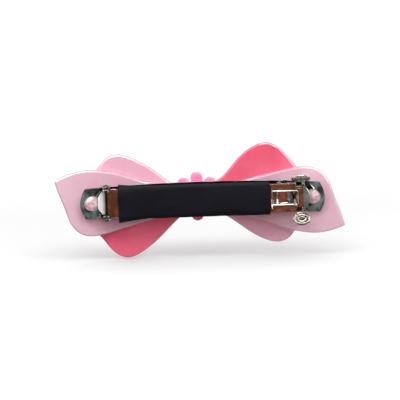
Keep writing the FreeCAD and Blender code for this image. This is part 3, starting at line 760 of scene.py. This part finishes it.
def petal_plastic(name):
    """Glossy moulded plastic in a lively pink."""
    mat, nodes, links, shader = material_base(name)
    cloud = object_noise(nodes, links, 180, 2)
    colours = ramp(nodes, links, cloud, [(0.3, (0.88, 0.18, 0.34)), (0.7, (0.97, 0.30, 0.47))])
    links.new(colours, shader.inputs["Base Color"])
    look = {
        "Subsurface Weight": 0.8,
        "Subsurface Radius": (1.0, 0.4, 0.5),
        "Subsurface Scale": 2.0 * MM,
        "Roughness": 0.2,
        "Coat Weight": 0.5,
        "Coat Roughness": 0.05,
    }
    set_inputs(shader, look)
    bump(nodes, links, shader, object_noise(nodes, links, 400, 1), 0.015 * MM)
    return mat


def pearl(name):
    """A pearly bead: pale, with a soft layered gloss."""
    mat, nodes, links, shader = material_base(name)
    cloud = object_noise(nodes, links, 240, 2)
    colours = ramp(nodes, links, cloud, [(0.3, (0.86, 0.78, 0.74)), (0.7, (0.95, 0.9, 0.87))])
    links.new(colours, shader.inputs["Base Color"])
    look = {
        "Subsurface Weight": 0.3,
        "Subsurface Scale": 0.8 * MM,
        "Roughness": 0.25,
        "Coat Weight": 0.8,
        "Coat Roughness": 0.06,
    }
    set_inputs(shader, look)
    bump(nodes, links, shader, object_noise(nodes, links, 500, 1), 0.01 * MM)
    return mat


def clear_glue(name):
    """Set clear glue: glassy and lumpy, with the pink of the acetate behind it painted into its colour, and
    whitish patches that are painted glints.
    """
    mat, nodes, links, shader = material_base(name)
    lumps_and_glints = object_noise(nodes, links, 650, 2)
    # Painted highlight: the whitish patches stand for glints on the glue; the pink stands for the acetate
    # seen through it.
    colours = ramp(nodes, links, lumps_and_glints, [(0.4, (0.86, 0.50, 0.56)), (0.62, (0.98, 0.92, 0.93))])
    links.new(colours, shader.inputs["Base Color"])
    look = {
        "Transmission Weight": 0.55,
        "Roughness": 0.08,
        "IOR": 1.47,
        "Coat Weight": 1.0,
        "Coat IOR": 1.8,
    }
    set_inputs(shader, look)
    bump(nodes, links, shader, lumps_and_glints, 0.7 * MM)
    return mat


# ---- The object ------------------------------------------------------------------------------------------
# The plate's green-grey tint and its very dark patches are painted reflection of a dim green room.
plate_chrome = chrome("plate_chrome", (0.58, 0.65, 0.64), wave=0.11 * MM, smudge_and_reflection_share=0.20)
# The pin is coloured near black as painted shade of the dark gap at the hinge.
pin_painted_shade = chrome("pin_painted_shade", (0.16, 0.13, 0.12), rough=(0.1, 0.2))
arm_chrome = chrome("arm_chrome", (0.92, 0.88, 0.84), wave=0.13 * MM, smudge_and_reflection_share=0.55)
leaf_chrome = chrome("leaf_chrome", (0.70, 0.65, 0.59), smudge_and_reflection_share=0.4, crevice_shade_power=0.7)
spring_steel = chrome(
    "spring_steel", (0.97, 0.95, 0.90), rough=(0.42, 0.52), smudge_and_reflection_share=0.93, crevice_shade_power=0.0, metallic=0.5
)
milky = acetate("milky_acetate", (0.81, 0.54, 0.64), (0.87, 0.63, 0.73), clear=0.42, glow=0.75)
rose = acetate("rose_acetate", (0.84, 0.12, 0.21), (0.93, 0.22, 0.34), clear=0.20, glow=0.6)
blush = acetate("blush_acetate", (0.84, 0.48, 0.61), (0.90, 0.58, 0.70), clear=0.28, glow=0.7)
satin_black = satin("black_satin")
daisy_pink = petal_plastic("daisy_pink")
bead_pearl = pearl("bead_pearl")
glue_clear = clear_glue("clear_glue")

FIXED = "bow_and_plate"

# Piece, CAD node, bend radius and half width of the bent middle in millimetres, slot, material.
SHEETS = [
    ("wing_acetate", "wing_sheet", 100, 30, "milky_acetate", milky),
    ("rose_bow", "rose_sheet", 125, 60, "rose_acetate", rose),
    ("blush_bow", "blush_sheet", 165, 60, "blush_acetate", blush),
]
for piece_name, node, radius, flat_x, slot, material in SHEETS:
    acetate_sheet(piece_name, node, radius * MM, flat_x * MM, FIXED, slot, material)

# Piece, CAD node, body, slot, material, width of the broken edges in millimetres, bend radius if any.
METAL = [
    ("plate_metal", "base_plate", FIXED, "plate_chrome", plate_chrome, 0.18, PLATE_BEND),
    ("pin_metal", "hinge_pin", FIXED, "plate_chrome", pin_painted_shade, 0.08, None),
    ("saddle_metal", "catch_saddle", FIXED, "plate_chrome", arm_chrome, 0.05, PLATE_BEND),
    ("arm_metal", "clasp_arm", "clasp", "arm_chrome", arm_chrome, 0.22, ARM_BEND),
    ("bar_metal", "tension_bar", "spring_bar", "spring_steel", spring_steel, 0.10, None),
    ("upper_leaf_metal", "catch_leaf_upper", "upper_leaf", "leaf_chrome", leaf_chrome, 0.16, None),
    ("lower_leaf_metal", "catch_leaf_lower", "lower_leaf", "leaf_chrome", leaf_chrome, 0.16, None),
]
for piece_name, node, body, slot, material, width, bend in METAL:
    softened(piece_name, node, body, slot, material, width * MM, bend)

on_arm = [
    window_lip("window_lip"),
    rib("window_bar", *BAR_RIB),
    rib("sleeve_stop", *STOP_RIB),
]
for piece in on_arm:
    finish_piece(piece, "clasp", "arm_chrome", arm_chrome)

for end in ("hinge_end", "catch_end"):
    dome = glue_dome("glue_dome_" + end, "glue_pad_" + end)
    finish_piece(dome, FIXED, "clear_glue", glue_clear)

sleeve = sleeve_mesh("satin_sleeve")
finish_piece(sleeve, "clasp", "black_satin", satin_black, "arm_sleeve")

daisy = daisy_mesh("daisy_petals")
finish_piece(daisy, FIXED, "daisy_pink", daisy_pink, "daisy_flower")

# CAD nodes that show as they are.
KEPT = {
    "daisy_bead": bead_pearl,
    "daisy_glue": glue_clear,
    "glue_pad_centre": glue_clear,
    "glue_pad_hinge_end": glue_clear,
    "glue_pad_catch_end": glue_clear,
    "wing_rose_joint": glue_clear,
    "rose_blush_joint": glue_clear,
}
for node, material in KEPT.items():
    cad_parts[node].data.materials.clear()
    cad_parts[node].data.materials.append(material)


# ---- Studio ----------------------------------------------------------------------------------------------
FLOOR_GAP = 0.4 * MM  # from the object's lowest point down to the floor
BOWL_FLAT = 2.1  # radius of the flat floor, so wide that the farthest camera stands within it
BOWL_CORNER = 0.6
BOWL_HEIGHT = 1.9
BOWL_SIDES = 96
BOWL_STEPS = 12  # steps round the bowl's corner
FLOOR_GLOW = ((0.12, 0.7), (0.14, 0.75))  # distances from the object, and how much the floor glows there

# Brightness of the world, from straight down (0) to straight up (1).
SKY = [(0.0, 0.4), (0.33, 0.6), (0.42, 0.9), (0.52, 1.05), (0.60, 1.1), (1.0, 1.4)]

# The dim room lies ahead and low in the world. Each pair gives the X, Y or Z of the directions at which a
# change starts and is complete.
ROOM_AHEAD = (-0.35, -0.75)
ROOM_TOP = (0.10, -0.02)
MIDDLE_WIDTH = (0.58, 0.50)
ROOM_DETAIL = 5.0
ROOM_SIDES = [(0.36, (0.004, 0.009, 0.012)), (0.5, (0.026, 0.043, 0.043)), (0.66, (0.11, 0.14, 0.13))]
ROOM_MIDDLE = [(0.35, (0.06, 0.020, 0.010)), (0.65, (0.25, 0.085, 0.042))]
ROOM_LIGHT = ((-0.30, -0.02), (0.45, 1.35))  # heights, and how bright the room is there


def studio_bowl():
    """A pale floor that curves up into a round wall, and glows more towards its edge."""
    floor_z = cad_box[0][2] - FLOOR_GAP
    profile = [(BOWL_FLAT, 0.0)]
    for k in range(1, BOWL_STEPS + 1):
        angle = math.pi / 2 * k / BOWL_STEPS
        profile.append((BOWL_FLAT + BOWL_CORNER * math.sin(angle), BOWL_CORNER * (1 - math.cos(angle))))
    profile.append((BOWL_FLAT + BOWL_CORNER, BOWL_HEIGHT))
    verts = [(0, 0, floor_z)]
    for r, z in profile:
        for angle in ring_angles(BOWL_SIDES):
            verts.append((r * math.cos(angle), r * math.sin(angle), floor_z + z))
    faces = [(0, 1 + k, 1 + (k + 1) % BOWL_SIDES) for k in range(BOWL_SIDES)]
    faces += flipped(ring_faces(len(profile), BOWL_SIDES, first=1))
    floor = new_object("studio_floor", verts, faces)
    mat, nodes, links, shader = material_base("studio_pale")
    look = {
        "Base Color": (0.5, 0.5, 0.5, 1),
        "Roughness": 0.9,
        "Specular IOR Level": 0.1,
        "Emission Color": (1, 1, 1, 1),
    }
    set_inputs(shader, look)
    place = nodes.new("ShaderNodeTexCoord")
    reach = nodes.new("ShaderNodeVectorMath")
    reach.operation = "LENGTH"
    links.new(place.outputs["Object"], reach.inputs[0])
    glow = rescaled(nodes, links, reach.outputs["Value"], *FLOOR_GLOW)
    links.new(glow, shader.inputs["Emission Strength"])
    floor.data.materials.append(mat)
    return floor


def area_light(name, azimuth, elevation, distance, size, power):
    """A rectangular softbox aimed at the object; its azimuth runs from -Y towards +X."""
    a, e = math.radians(azimuth), math.radians(elevation)
    out = Vector((math.sin(a) * math.cos(e), -math.cos(a) * math.cos(e), math.sin(e)))
    data = bpy.data.lights.new(name, "AREA")
    data.shape = "RECTANGLE"
    data.size, data.size_y = size
    data.energy = power
    lamp = link_object(name, data)
    lamp.location = out * distance
    lamp.rotation_mode = "QUATERNION"
    lamp.rotation_quaternion = out.to_track_quat("Z", "Y")


def brightness(nodes, links, source, stops):
    """A grey ramp on a value; stops are (place, brightness up to 2)."""
    halves = ramp(nodes, links, source, [(place, (v / 2, v / 2, v / 2)) for place, v in stops])
    return reckoned(nodes, links, "MULTIPLY", halves, 2.0)


def studio_world():
    """A bright sky over a dim room, which the chrome reflects: brown ahead, grey-green to the sides."""
    world = bpy.data.worlds.new("studio_world")
    world.use_nodes = True
    nodes, links = world.node_tree.nodes, world.node_tree.links
    place = nodes.new("ShaderNodeTexCoord")
    parts = nodes.new("ShaderNodeSeparateXYZ")
    links.new(place.outputs["Generated"], parts.inputs["Vector"])
    height = rescaled(nodes, links, parts.outputs["Z"], (-1, 1), (0, 1))
    light = brightness(nodes, links, height, SKY)
    front = rescaled(nodes, links, parts.outputs["Y"], ROOM_AHEAD, (0, 1))
    low = rescaled(nodes, links, parts.outputs["Z"], ROOM_TOP, (0, 1))
    room_share = reckoned(nodes, links, "MULTIPLY", front, low)
    clutter = nodes.new("ShaderNodeTexNoise")
    set_inputs(clutter, {"Scale": ROOM_DETAIL, "Detail": 3.0})
    links.new(place.outputs["Generated"], clutter.inputs["Vector"])
    sides = ramp(nodes, links, clutter.outputs["Fac"], ROOM_SIDES)
    across = reckoned(nodes, links, "ABSOLUTE", parts.outputs["X"])
    ahead = rescaled(nodes, links, across, MIDDLE_WIDTH, (0, 1))
    middle = ramp(nodes, links, clutter.outputs["Fac"], ROOM_MIDDLE)
    room = mixed(nodes, links, ahead, sides, middle)
    lit = rescaled(nodes, links, parts.outputs["Z"], *ROOM_LIGHT)
    room = mixed(nodes, links, 1.0, room, lit, "MULTIPLY")
    links.new(mixed(nodes, links, room_share, light, room), nodes["Background"].inputs["Color"])
    set_inputs(nodes["Background"], {"Strength": 1.0})
    bpy.context.scene.world = world


# The floor shows and takes shadows, but lights and shades nothing, so the metal reflects the world alone.
bowl = studio_bowl()
bowl.visible_diffuse = False
bowl.visible_glossy = False
bowl.visible_shadow = False
studio_world()
area_light("key_softbox", azimuth=3, elevation=46, distance=0.60, size=(0.70, 0.26), power=3.0)
area_light("fill_softbox", azimuth=12, elevation=19, distance=0.70, size=(0.5, 0.2), power=0.85)


# ---- Camera ----------------------------------------------------------------------------------------------
VIEW_ELEVATION = 8.5  # degrees above the clip's own facing direction
VIEW_ROLL = 1.9  # degrees; the catch end stands higher in the view
VIEW_DISTANCE = 1.5
VIEW_WIDTH = 130.8 * MM  # what the frame spans at the target
TARGET_X = -0.8 * MM
TARGET_Z = 0.3 * MM
SENSOR = 36  # millimetres, as the lens


def make_camera():
    """The camera, looking at the clip from slightly above."""
    target = Vector((TARGET_X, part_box("base_plate")[0][1], TARGET_Z))
    tilt, roll = math.radians(VIEW_ELEVATION), math.radians(VIEW_ROLL)
    back = Vector((0, -math.cos(tilt), math.sin(tilt)))
    plain_up = Vector((0, math.sin(tilt), math.cos(tilt)))
    along = Vector((1, 0, 0))
    right = along * math.cos(roll) - plain_up * math.sin(roll)
    up = plain_up * math.cos(roll) + along * math.sin(roll)
    data = bpy.data.cameras.new("camera")
    data.sensor_width = SENSOR
    data.lens = data.sensor_width * VIEW_DISTANCE / VIEW_WIDTH
    data.clip_start, data.clip_end = 0.01, 10
    cam = link_object("camera", data)
    turn = Matrix((right, up, back)).transposed()
    cam.matrix_world = Matrix.Translation(target + back * VIEW_DISTANCE) @ turn.to_4x4()
    bpy.context.scene.camera = cam


make_camera()
bpy.context.scene.view_settings.view_transform = "Standard"
